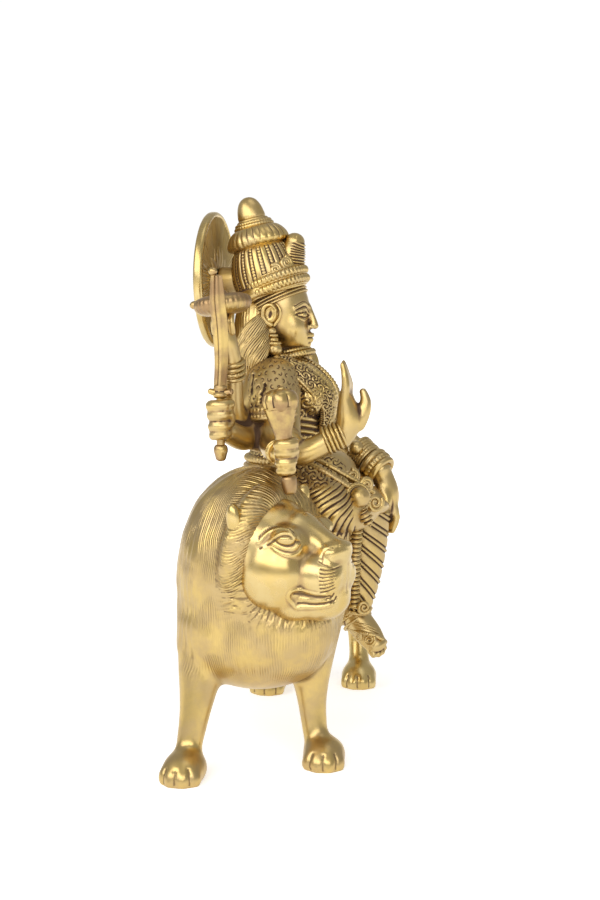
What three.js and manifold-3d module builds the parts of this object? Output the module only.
// A brass goddess with eight arms, riding side-saddle on a walking lion.
// Millimetres, +Z up. The lion walks towards -X and turns its head to -Y, the side that she faces.
// Three castings: the lion, the goddess with all that she wears and holds, and the round halo
// that is fixed to a lug behind her crown. The figure stands on the lion's four paws.

import * as THREE from "three";
import { mergeVertices } from "three/addons/utils/BufferGeometryUtils.js";
import Module from "manifold-3d";

const wasm = await Module();
wasm.setup();

// Driving sizes
const FIGURE_HEIGHT = 250; // ground to the tip of the crown
const HALO_RADIUS = 32;
const HALO_THICKNESS = 4.5;
const HALO_FLUTE_DEPTH = 0.9; // from the crest of a ray to the groove beside it
const HALO_RAYS = 15;
const LUG_RADIUS = 6; // the stub behind the crown that carries the halo
const CASTING_GAP = 0.35; // between two castings where they seat on each other
const SWORD_LENGTH = 52; // blade, from the guard to the tip
const SWORD_WIDTH = 8;
const SWORD_THICKNESS = 3.4;
const BOW_HEIGHT = 72;
const SHAFT_RADIUS = 1.8; // grips, stems and the bow's limb
const MACE_HEAD_RADIUS = 7;
const DISCUS_RADIUS = 12.5;
const DISCUS_HEIGHT = 9;
const BANGLE_STEP = 2.8; // from one bangle to the next
const BANGLE_RISE = 1.2; // how far a bangle stands out from the arm

// The pose is written for a figure 250 mm tall, and grows with FIGURE_HEIGHT.
const POSE = FIGURE_HEIGHT / 250;
const at = (x, y, z) => new THREE.Vector3(x, y, z).multiplyScalar(POSE);
const X = new THREE.Vector3(1, 0, 0);
const Y = new THREE.Vector3(0, 1, 0);
const Z = new THREE.Vector3(0, 0, 1);
const degrees = THREE.MathUtils.degToRad;
const grown = (profile) => profile.map(([r, h]) => [r * POSE, h * POSE]);
const plain = () => 1; // carving that leaves a skin as it is

// A closed geometry as a solid that can be joined and cut.
function solid(geometry) {
  const bare = geometry.clone();
  bare.deleteAttribute("normal");
  bare.deleteAttribute("uv");
  const merged = mergeVertices(bare, 1e-4);
  return new wasm.Manifold(
    new wasm.Mesh({
      numProp: 3,
      vertProperties: merged.attributes.position.array,
      triVerts: new Uint32Array(merged.index.array),
    }),
  );
}

const joined = (geometries) => geometries.map(solid).reduce((a, b) => a.add(b));

// The triangles of a body without the skins of hollows that are sealed inside it: a casting is
// metal all through. A skin that faces inwards encloses a negative volume.
function withoutHollows({ vertProperties: place, triVerts: index }) {
  const link = Array.from({ length: place.length / 3 }, (_, i) => i);
  const root = (i) => {
    while (link[i] !== i) i = link[i] = link[link[i]];
    return i;
  };
  for (let t = 0; t < index.length; t += 3) {
    link[root(index[t])] = root(index[t + 1]);
    link[root(index[t + 1])] = root(index[t + 2]);
  }
  const point = (i) => new THREE.Vector3().fromArray(place, 3 * i);
  const volume = new Map();
  for (let t = 0; t < index.length; t += 3) {
    const [a, b, c] = [0, 1, 2].map((corner) => point(index[t + corner]));
    const skinRoot = root(index[t]);
    volume.set(skinRoot, (volume.get(skinRoot) ?? 0) + a.dot(b.cross(c)));
  }
  return index.filter((i) => volume.get(root(i)) > 0);
}

// A solid as a named mesh of the model.
function casting(name, body, material) {
  const made = body.getMesh();
  const geometry = new THREE.BufferGeometry();
  geometry.setAttribute("position", new THREE.BufferAttribute(made.vertProperties, 3));
  geometry.setIndex(new THREE.BufferAttribute(withoutHollows(made), 1));
  geometry.computeVertexNormals();
  const mesh = new THREE.Mesh(geometry, material);
  mesh.name = name;
  return mesh;
}

// Joins rings of points, each as long as the last, into a skin that is closed by a point at each end.
function skin(first, rings, last) {
  const sides = rings[0].length;
  const points = [first, ...rings.flat(), last];
  const index = [];
  const of = (ring, side) => 1 + ring * sides + (side % sides);
  for (let s = 0; s < sides; s++) {
    index.push(0, of(0, s + 1), of(0, s));
    for (let r = 0; r + 1 < rings.length; r++) {
      index.push(of(r, s), of(r, s + 1), of(r + 1, s + 1));
      index.push(of(r, s), of(r + 1, s + 1), of(r + 1, s));
    }
    index.push(points.length - 1, of(rings.length - 1, s), of(rings.length - 1, s + 1));
  }
  const geometry = new THREE.BufferGeometry().setFromPoints(points);
  geometry.setIndex(index);
  return geometry;
}

const evenly = (steps) => Array.from({ length: steps + 1 }, (_, i) => [i / steps, 0]);

// A limb: ellipses carried along a smooth line through the stations, with round ends.
// A station is [x, y, z, half-width, half-depth]; the width lies along "wide" as nearly as the line lets it.
// A stage is [share of the line's length, real height of a ring that stands out there].
// carve(angle, share) scales the skin, and grow thickens it all round by a real length.
function limb(stations, options = {}) {
  const { sides = 6, stages = evenly(stations.length - 1), wide = X, carve = plain, grow = 0 } = options;
  const line = new THREE.CatmullRomCurve3(stations.map(([x, y, z]) => at(x, y, z)));
  const halves = new THREE.CatmullRomCurve3(stations.map(([, , , w, d = w]) => at(w, d, 0)));
  const END = { reach: 0.5, size: 0.75, tip: 0.75 };
  const ring = (share, rise, reach, size) => {
    const t = line.getUtoTmapping(share);
    const along = line.getTangent(t);
    const width = wide.clone().addScaledVector(along, -wide.dot(along)).normalize();
    const depth = along.clone().cross(width);
    const half = halves.getPoint(t).addScalar(grow + rise);
    const middle = line.getPoint(t).addScaledVector(along, reach * Math.min(half.x, half.y));
    if (!size) return middle;
    return Array.from({ length: sides }, (_, s) => {
      const angle = (2 * Math.PI * s) / sides;
      const cut = size * carve(angle, share);
      return middle
        .clone()
        .addScaledVector(width, cut * half.x * Math.cos(angle))
        .addScaledVector(depth, cut * half.y * Math.sin(angle));
    });
  };
  const rings = stages.map(([share, rise]) => ring(share, rise, 0, 1));
  rings.unshift(ring(0, 0, -END.reach, END.size));
  rings.push(ring(1, 0, END.reach, END.size));
  return skin(ring(0, 0, -END.tip, 0), rings, ring(1, 0, END.tip, 0));
}

// An egg with half-sizes along its own axes. carve(azimuth, height) scales it, with height from -1 to 1.
function egg([x, y, z], [a, b, c], options = {}) {
  const { around = 8, rows = 4, turn = null, carve = plain, grow = 0 } = options;
  const half = at(a, b, c).addScalar(grow);
  const ring = (row) => {
    const polar = (Math.PI * row) / rows - Math.PI / 2;
    return Array.from({ length: around }, (_, s) => {
      const azimuth = (2 * Math.PI * s) / around;
      const size = carve(azimuth, Math.sin(polar));
      const flat = size * Math.cos(polar);
      return new THREE.Vector3(
        half.x * flat * Math.cos(azimuth),
        half.y * flat * Math.sin(azimuth),
        half.z * size * Math.sin(polar),
      );
    });
  };
  const rings = Array.from({ length: rows - 1 }, (_, i) => ring(i + 1));
  const made = skin(new THREE.Vector3(0, 0, -half.z), rings, new THREE.Vector3(0, 0, half.z));
  if (turn) made.applyQuaternion(turn);
  return made.translate(...at(x, y, z).toArray());
}

// A turned form about +Z at a point. Its [radius, height] pairs are real lengths, first and last on the axis.
function turned(profile, segments, { x = 0, y = 0, z = 0 } = {}) {
  const made = new THREE.LatheGeometry(
    profile.map(([r, h]) => new THREE.Vector2(r, h)),
    segments,
  );
  return made.rotateX(Math.PI / 2).translate(x, y, z);
}

// A straight round shaft between two points of the model.
function shaft(from, to, radius, sides = 6) {
  const along = to.clone().sub(from);
  const made = new THREE.CylinderGeometry(radius, radius, along.length(), sides).rotateX(Math.PI / 2);
  const turn = new THREE.Quaternion().setFromUnitVectors(Z, along.normalize());
  return made.applyQuaternion(turn).translate(...from.clone().add(to).divideScalar(2).toArray());
}

// Carving that alternates between crest and groove, for a skin with twice as many sides as ridges.
const ridges = (count, depth) => (angle) => 1 + depth * Math.cos(count * angle);
const about = (axis, angle) => new THREE.Quaternion().setFromAxisAngle(axis, degrees(angle));

const SIDES = [-1, 1]; // her right, then her left

// The lion

const LION_HEAD = { place: [-69, -14, 97], yaw: 65 }; // turned from straight ahead towards -Y
const TOE = { pitch: Math.PI / 4, depth: 0.07, heel: 0.96 }; // four toes fill the front half of a paw

// A leg from the shoulder or haunch to the ankle, then the paw with four toes at its front.
function lionLeg({ hip, knee, shin, ankle, paw: [x, y], yaw }, grow) {
  const turn = about(Z, yaw);
  const toes = (azimuth) => {
    const ahead = Math.abs(azimuth - Math.PI);
    return ahead > 1.5 * TOE.pitch ? TOE.heel : 1 - TOE.depth * Math.cos((2 * Math.PI * ahead) / TOE.pitch);
  };
  return [
    limb([hip, knee, shin, ankle], { stages: evenly(4), grow }),
    egg([x, y, 3.4], [13.2, 10.6, 9.8], { around: 16, turn, carve: toes, grow }),
  ];
}

// The head, built facing -X about its own middle, then turned and put in place.
function lionHead(grow) {
  const parts = [
    egg([1, 0, 2], [23, 21.5, 22.5], { around: 12, rows: 6, grow }),
    limb([[-6, 0, 14, 12, 9], [-19, 0, 6.5, 8, 7], [-29, 0, 2.5, 6.5, 5]], { sides: 6, wide: Y, grow }),
    egg([-19, 0, -6], [12.5, 12.5, 10.5], { around: 10, grow }),
    egg([-14.5, 0, -17], [13, 11, 8], { around: 10, grow }),
  ];
  for (const side of SIDES) {
    const brow = [[-21, side * 8, 13, 2], [-13, side * 15, 15, 2.2], [-4, side * 19.5, 10, 1.6]];
    parts.push(
      egg([-5, side * 13, -7], [13, 9, 13], { grow }),
      egg([-13.5, side * 13.4, 9], [5.2, 3.8, 3], { around: 6, grow }),
      limb(brow, { sides: 4, wide: Z, grow }),
      egg([9, side * 20, 17], [4, 5, 8.5], { around: 6, turn: about(X, -side * 32), grow }),
    );
  }
  const turn = about(Z, LION_HEAD.yaw);
  return parts.map((part) => part.applyQuaternion(turn).translate(...at(...LION_HEAD.place).toArray()));
}

const LION_LEGS = [
  { // right fore
    hip: [-58, 23, 68, 15, 14.6],
    knee: [-69, 24, 42, 9.8, 10],
    shin: [-75, 24.6, 28, 6.8, 7.4],
    ankle: [-80, 26.6, 10, 5.8, 5.6],
    paw: [-88, 26.3],
    yaw: -4,
  },
  { // left fore
    hip: [-46, -21, 68, 15, 15],
    knee: [-48, -20.5, 40, 8.8, 9.6],
    shin: [-50, -21.5, 27, 6.4, 7],
    ankle: [-53, -23.6, 11, 5.6, 5.6],
    paw: [-58, -28.4],
    yaw: 8,
  },
  { // right hind
    hip: [66, 18, 62, 15, 11],
    knee: [60, 20, 42, 9.5, 8],
    shin: [66, 20, 26, 6.2, 6.2],
    ankle: [56, 20.5, 9, 5.6, 5.6],
    paw: [48, 20.5],
    yaw: 0,
  },
  { // left hind
    hip: [76, -18, 62, 15, 11],
    knee: [74, -20, 42, 9.5, 8],
    shin: [82, -21.5, 26, 6.2, 6.2],
    ankle: [75, -23, 9, 5.6, 5.6],
    paw: [68, -24],
    yaw: 6,
  },
];

// The barrel of the lion that she sits on: trunk, mane, ruff and haunches.
function lionBody(grow) {
  const lock = (angle, height) => 1 + 0.03 * Math.cos(10 * angle + 6 * height);
  const ruff = new THREE.Quaternion().setFromEuler(new THREE.Euler(0, degrees(-14), degrees(LION_HEAD.yaw)));
  return [
    limb(
      [
        [-60, 0, 78, 20, 24],
        [-30, 0, 83, 26, 30],
        [10, 0, 83, 25, 27],
        [50, 0, 84, 26, 27],
        [76, 0, 85, 23, 24],
        [90, 0, 86, 14, 15],
      ],
      { sides: 10, stages: evenly(6), wide: Y, grow },
    ),
    egg([-49, 0, 82], [36, 38.6, 48], { around: 20, rows: 8, carve: lock, grow }),
    egg([-59, 1.4, 60], [26, 35.6, 26.6], { around: 16, rows: 6, carve: ridges(8, 0.03), grow }),
    egg([-65, -9, 98], [16, 30, 29], { around: 16, rows: 6, turn: ruff, carve: ridges(8, 0.04), grow }),
    egg([70, 16, 72], [21, 13, 27], { rows: 6, grow }),
    egg([76, -16, 72], [21, 13, 27], { rows: 6, grow }),
  ];
}

// Legs, head and tail.
function lionLimbs(grow) {
  return [
    ...lionHead(grow),
    ...LION_LEGS.flatMap((leg) => lionLeg(leg, grow)),
    limb([[86, 0, 94, 6], [103, 3, 98, 4.6], [112, 7, 116, 4], [109, 9, 136, 3.8], [100, 10, 150, 3.6]], {
      stages: evenly(6),
      wide: Y,
      grow,
    }),
    limb([[101, 10, 147, 4.4], [95, 10.5, 158, 7], [94, 11, 171, 3.4]], {
      sides: 8,
      wide: Y,
      carve: ridges(4, 0.1),
      grow,
    }),
  ];
}

// The ground under the paws, which cuts their soles flat.
function ground() {
  const depth = 40 * POSE;
  return solid(new THREE.BoxGeometry(400 * POSE, 200 * POSE, depth).translate(0, 0, -depth / 2));
}

// The goddess

// A closed hand round an upright shaft: four fingers, one over the other.
function fist(place) {
  const fingers = (_, height) => 1 + 0.09 * Math.cos(4 * Math.acos(height));
  return egg(place, [6.4, 7.2, 10.4], { around: 5, rows: 8, carve: fingers });
}

// An arm through the shoulder, elbow and wrist, with bangles above the wrist.
function arm(shoulder, elbow, wrist, { bangles = 2, girth = 1, cuff = 4.3 } = {}) {
  const length = at(...shoulder).distanceTo(at(...elbow)) + at(...elbow).distanceTo(at(...wrist));
  const stages = [[0, 0], [0.5, 0]];
  for (let i = bangles; i > 0; i--) {
    stages.push([1 - (i * BANGLE_STEP) / length, 0], [1 - ((i - 0.5) * BANGLE_STEP) / length, BANGLE_RISE]);
  }
  stages.push([1, 0]);
  const stations = [[...shoulder, 7.6 * girth], [...elbow, 5.8 * girth], [...wrist, cuff]];
  return limb(stations, { sides: 5, stages, wide: Z });
}

// A sword held upright: a blade with a middle ridge, the guard, the grip and the pommel.
function sword({ x, y, z }) {
  const half = SWORD_WIDTH / 2;
  const ridge = SWORD_THICKNESS / 2;
  const guard = z + 13 * POSE;
  const foot = z - 12 * POSE;
  const edges = [[-1, 0], [0, 1], [1, 0], [0, -1]];
  const section = ([rise, share, lean]) =>
    edges.map(([w, t]) => {
      const across = half * (lean + w * share);
      return new THREE.Vector3(x + t * ridge, y + across, guard + rise * SWORD_LENGTH);
    });
  const sections = [[0, 0.8, 0], [0.4, 0.85, 0.1], [0.85, 1, 0.1]].map(section);
  const heel = new THREE.Vector3(x, y, guard - ridge);
  const tip = new THREE.Vector3(x, y + 0.9 * half, guard + SWORD_LENGTH);
  const boss = [[0, -2.5], [0.4 * half, -2.5], [1.25 * half, 0], [0.4 * half, 2.5], [0, 2.5]];
  return [
    skin(heel, sections, tip),
    turned(boss, 6, { x, y, z: guard }),
    shaft(new THREE.Vector3(x, y, foot), new THREE.Vector3(x, y, guard), SHAFT_RADIUS),
    turned([[0, -2.8], [2, -2.6], [3.2, 1], [0, 5]], 6, { x, y, z: foot }),
  ];
}

// A mace held upright: pommel, grip, a flared neck and a lobed head.
function mace({ x, y, z }) {
  const R = MACE_HEAD_RADIUS;
  const foot = z - 13 * POSE;
  const neck = z + 7 * POSE;
  const flare = [[0, 0], [0.5 * R, 0], [0.95 * R, 2 * R], [0, 2 * R]];
  const lobes = [[0, 1.7 * R], [0.9 * R, 2 * R], [R, 2.6 * R], [0.6 * R, 3.1 * R], [0, 3.2 * R]];
  return [
    turned(flare, 6, { x, y, z: neck }),
    turned(lobes, 10, { x, y, z: neck }),
    shaft(new THREE.Vector3(x, y, foot), new THREE.Vector3(x, y, neck + 1), SHAFT_RADIUS),
    turned([[0, -1], [1.5, -1], [2.8, 3], [0, 7]], 6, { x, y, z: foot }),
  ];
}

// A discus with a knob at each side, lying level on the raised hand.
function discus(place) {
  const R = DISCUS_RADIUS;
  const H = DISCUS_HEIGHT;
  const below = [[0, -0.6 * H], [0.34 * R, -0.5 * H], [0.86 * R, -0.1 * H]];
  const above = [[R, 0.14 * H], [0.6 * R, 0.42 * H], [0, 0.5 * H]];
  return turned([...below, ...above], 12).rotateX(degrees(-8)).translate(...place.toArray());
}

// A conch held upright: the channel, the body whorl and the spire.
function conch(place) {
  const profile = [[0, -9], [1.8, -8], [6, -1], [6.6, 3], [4.2, 6.4], [2.6, 8.8], [0, 12]];
  return turned(grown(profile), 8, place);
}

// A lotus bud on a short stem.
function lotus({ x, y, z }) {
  const stem = [-14, 14].map((rise) => new THREE.Vector3(x, y, z + rise * POSE));
  const bud = [[0, 11], [4.6, 15], [6.4, 21], [3.6, 28], [0, 31]];
  return [shaft(...stem, SHAFT_RADIUS), turned(grown(bud), 8, { x, y, z })];
}

// A bow held upright by its middle, its belly to the front.
function bow({ x, y, z }) {
  const half = BOW_HEIGHT / 2;
  const upper = [[-0.17, 0.42], [0.04, 0.8], [0.16, 1]];
  const lower = upper.map(([deep, rise]) => [deep, -rise]).reverse();
  const bends = [...lower, [-0.04, 0], ...upper];
  const line = new THREE.CatmullRomCurve3(
    bends.map(([deep, rise]) => new THREE.Vector3(x, y + deep * half, z + rise * half)),
  );
  const circle = new THREE.Shape().absellipse(0, 0, SHAFT_RADIUS, SHAFT_RADIUS, 0, 2 * Math.PI);
  return new THREE.ExtrudeGeometry(circle, { extrudePath: line, steps: 7, curveSegments: 2 });
}

// The three arms of each side that reach out and back, with what their hands hold.
function outerArms() {
  const grips = {
    sword: [-62, 16.2, 150.5],
    mace: [-70, -13.4, 136],
    bow: [60, 14, 150],
    lotus: [58, 2, 150],
  };
  return [
    arm([-20, 8, 166], [-43, 14.5, 150], [-54, 13.6, 178], { bangles: 3, cuff: 5 }),
    egg([-56, 15, 187], [5.4, 5.4, 8], { around: 6 }),
    discus(at(-56, 17, 201)),
    shaft(at(-56, 16.5, 190), at(-56, 17, 199), 3 * POSE),
    arm([-21, 7, 164], [-43, 9.5, 142], [-59, 15, 146], { bangles: 0, cuff: 6 }),
    fist(grips.sword),
    ...sword(at(...grips.sword)),
    arm([-22, -1, 162], [-46, -3, 139], [-66, -11, 137], { bangles: 0 }),
    fist(grips.mace),
    ...mace(at(...grips.mace)),
    arm([20, 8, 166], [43, 15.5, 150], [53, 15, 178], { bangles: 3 }),
    egg([54, 15, 187], [5, 4.6, 7], { around: 6 }),
    conch(at(55, 15, 197)),
    arm([21, 7, 164], [43, 9.5, 142], [56, 13, 147], { bangles: 0 }),
    fist(grips.bow),
    bow(at(...grips.bow)),
    arm([22, 0, 162], [43, -3, 141], [54, 0, 147], { bangles: 0 }),
    fist(grips.lotus),
    ...lotus(at(...grips.lotus)),
  ];
}

// The two front arms: the right hand raised, palm forward, and the left laid over the knee.
function frontArms() {
  const parts = [
    arm([-23, -3, 163], [-39, -11, 132], [-35, -30, 140.5], { bangles: 3, cuff: 5.4 }),
    limb([[-35, -30.5, 142, 4.8, 4.8], [-35, -35, 150, 6.6, 4.8], [-35, -34.6, 160, 6.2, 3]]),
    limb([[-34, -39, 147, 3.2], [-33, -42, 154, 2.6], [-33, -41, 160, 1.8]], { sides: 5 }),
    arm([23, -2, 164], [35, -14, 141], [23, -41.6, 120], { bangles: 5, girth: 1.16, cuff: 6.8 }),
    limb([[24, -42.4, 116, 5.2, 4.8], [25, -44.4, 108, 6.4, 4.4], [25, -45.4, 100, 6, 3.6]]),
  ];
  for (let finger = 0; finger < 4; finger++) {
    const across = 3.1 * (finger - 1.5);
    const tall = 171 + 4 * Math.sin(0.9 + 0.75 * finger);
    parts.push(
      limb([[-35 + across, -34.2, 158, 2.4], [-35 + across, -33.4, tall, 1.7]], { sides: 4 }),
      limb([[25 + across, -46.6, 103, 2.4], [25.4 + across, -47, 90.5, 1.9]], { sides: 4 }),
    );
  }
  return parts;
}

// The head with its face, ears, earrings and hair.
function head() {
  const parts = [
    egg([0, 4, 195], [14, 15, 18], { around: 12, rows: 6 }),
    egg([0, -4, 184], [8.4, 7, 6.4]),
    limb([[0, -10, 202, 1.8, 2], [0, -13.6, 193.4, 2.4, 2]], { sides: 5, stages: evenly(2) }),
    egg([0, -10.6, 188], [3.8, 1.9, 1.9], { around: 6 }),
    limb([[0, 5, 166, 9, 8.5], [0, 3, 184, 8, 8]], { sides: 8 }),
    egg([0, 13, 187], [18, 12, 20], { around: 16, carve: ridges(8, 0.05) }),
  ];
  for (const side of SIDES) {
    parts.push(
      limb([[side * 14, 9, 188, 6, 7], [side * 19, 9, 178, 7, 8.5], [side * 20, 9, 169, 4, 6]], {
        carve: ridges(3, 0.08),
      }),
      egg([side * 5.4, -9.2, 197], [3.2, 2, 1.7], { around: 6 }),
      egg([side * 14, 5.5, 196], [2.6, 4.6, 8], { around: 6 }),
      limb([[side * 15, 3, 189, 1.6], [side * 16, 2, 180, 3.4]], { sides: 5 }),
    );
  }
  return parts;
}

// The tall crown, turned on its own axis and leaned back over the head.
const CROWN = { base: [0, 7, 203], lean: 15, ribs: 9, carving: 0.04 };

function crown() {
  const profile = [
    [0, -4], [15.6, -4], [17.6, 0], [17.4, 5], [16.2, 6.4], [16.4, 12], [15, 20], [12.4, 25], [14, 28],
    [12.6, 32], [8.6, 34.6], [8.6, 37.4], [6.6, 39.6], [5.8, 44.6], [2.8, 48], [0, 48.7],
  ];
  const body = turned(profile, 2 * CROWN.ribs);
  const place = body.attributes.position;
  for (let i = 0; i < place.count; i++) {
    const height = place.getZ(i);
    const ribbed = (height > 11 && height < 24) || (height > 27 && height < 33);
    const turn = Math.atan2(place.getY(i), place.getX(i));
    const size = 1 + (ribbed ? CROWN.carving : 0) * Math.cos(CROWN.ribs * turn);
    place.setXY(i, place.getX(i) * size, place.getY(i) * size);
  }
  const leaf = new THREE.SphereGeometry(1, 8, 6).rotateX(Math.PI / 2).scale(9, 5, 12.5).translate(0, -16, 17);
  return [body, leaf].map((part) =>
    part
      .scale(POSE, POSE, POSE)
      .rotateX(degrees(-CROWN.lean))
      .translate(...at(...CROWN.base).toArray()),
  );
}

// Body, sleeves, necklace and the garland that falls to the waist.
function torso() {
  const folds = (angle, share) => 1 + 0.05 * Math.cos(5 * angle) * Math.max(0, 1 - 3 * share);
  const necklace = new THREE.TorusGeometry(11.5 * POSE, 2.4 * POSE, 5, 12).rotateX(degrees(-14));
  const parts = [
    limb(
      [
        [1, 4, 114, 27, 18],
        [1, 2, 125, 22, 18],
        [0, -1.5, 137, 17.5, 15.5],
        [0, -2, 152, 21, 16.5],
        [0, 3, 167, 23, 12],
        [0, 5, 174, 11, 9],
      ],
      { sides: 10, stages: evenly(6), carve: folds },
    ),
    necklace.translate(...at(0, -2, 174).toArray()),
  ];
  for (const side of SIDES) {
    const garland = [
      [side * 14, 3, 174, 4.6, 3],
      [side * 13, -14, 166, 4.4, 3.4],
      [side * 9.5, -21.5, 156, 4, 3],
      [side * 4, -18.5, 142, 3.4, 3],
    ];
    parts.push(
      egg([side * 9.6, -13, 157.5], [9.6, 8.6, 9.4]),
      limb(garland, { stages: evenly(4), carve: ridges(3, 0.1) }),
      limb([[side * 18, 3, 168, 9, 12.5], [side * 30, 4, 157, 8, 13]], { sides: 8, wide: Z }),
    );
  }
  return parts;
}

// Legs and the pleated cloth: the right leg folded on the lion's back, the left hanging down its side.
function legs() {
  const pleat = (angle, share) => 1 + 0.09 * Math.cos(5 * angle) * Math.min(1, 4 * share);
  const gathered = { sides: 10, wide: Z, carve: pleat };
  return [
    limb([[-8, 4, 119, 15], [-22, -13, 115, 14.5], [-31, -24, 111, 12]], gathered),
    limb([[-31, -24, 110, 10.5], [-16, -34, 106, 9.4], [0, -39, 106, 6.6]], gathered),
    limb([[0, -39, 106, 4.6, 5], [9, -42, 105, 4, 5], [16, -43.5, 104, 2.6, 3.6]], { wide: Z }),
    limb([[9, 4, 119, 15], [14, -15, 114, 14.5], [17, -34.5, 101, 12.5]], gathered),
    limb([[17, -34.5, 101, 12], [15.5, -35, 86, 11.2], [12.5, -33, 68, 9.6], [10, -30, 52, 7]], {
      sides: 10,
      stages: evenly(4),
      carve: ridges(5, 0.08),
    }),
    limb([
      [10, -28.5, 54, 5.6],
      [8.5, -31.4, 45.5, 6.4, 6],
      [6, -40, 39.4, 6.8, 5.6],
      [4.5, -45.6, 33.6, 5.6, 3.8],
    ]),
    limb([[-12, -23, 108, 20, 11], [-10, -25, 92, 19, 8.5], [-5, -26, 72, 14, 7.5], [2, -26, 56, 9, 6]], {
      sides: 12,
      stages: evenly(4),
      carve: ridges(6, 0.08),
    }),
    egg([-20, -34.5, 112.7], [5, 5, 5]),
    limb([[-19.5, -38, 108.5, 2.4], [-19, -41.5, 102.5, 1.8]], { sides: 5 }),
    egg([-13, -40.5, 109.9], [2.8, 3.4, 4], { around: 5 }),
  ];
}

const HALO_PLACE = [0, 32.8, 212]; // the middle of the halo's front

// The lug behind the crown, ending one casting gap short of the halo.
function lug() {
  const end = at(...HALO_PLACE);
  end.y -= CASTING_GAP;
  return shaft(at(0, 14, HALO_PLACE[2]), end, LUG_RADIUS, 8);
}

// The halo: a thick disc whose front is fluted in rays inside a plain rim.
function halo() {
  const R = HALO_RADIUS;
  const T = HALO_THICKNESS;
  const rim = 0.94 * R;
  const profile = [[0, 0], [0.3 * R, 0], [rim, 0], [R, 0.18 * T], [R, 0.8 * T], [rim, T], [0, T]];
  const made = turned(profile, 2 * HALO_RAYS).rotateX(-Math.PI / 2);
  const place = made.attributes.position;
  for (let i = 0; i < place.count; i++) {
    const out = Math.hypot(place.getX(i), place.getZ(i));
    const fluted = place.getY(i) < 0.1 * T && out > LUG_RADIUS && out < 0.97 * R;
    const turn = Math.atan2(place.getZ(i), place.getX(i));
    if (fluted) place.setY(i, 0.5 * HALO_FLUTE_DEPTH * (1 + Math.cos(HALO_RAYS * turn)));
  }
  return made.translate(...at(...HALO_PLACE).toArray());
}

const polished = new THREE.MeshStandardMaterial({ color: 0xc9a24e, metalness: 1, roughness: 0.3 });
const carved = new THREE.MeshStandardMaterial({ color: 0xb8924a, metalness: 1, roughness: 0.4 });
const dull = new THREE.MeshStandardMaterial({ color: 0xa88a66, metalness: 1, roughness: 0.5 });

const lion = joined([...lionBody(0), ...lionLimbs(0)]).subtract(ground());
const seat = joined(lionBody(CASTING_GAP));
const goddess = joined([...torso(), ...legs(), ...head(), ...crown(), ...outerArms(), ...frontArms(), lug()]);

const figure = new THREE.Group();
figure.add(
  casting("lion", lion, polished),
  casting("goddess", goddess.subtract(seat), carved),
  casting("halo", solid(halo()), dull),
);

// The origin is on the ground, under the middle of the figure.
const middle = new THREE.Box3().setFromObject(figure).getCenter(new THREE.Vector3());
figure.position.set(-middle.x, -middle.y, 0);

export default figure;
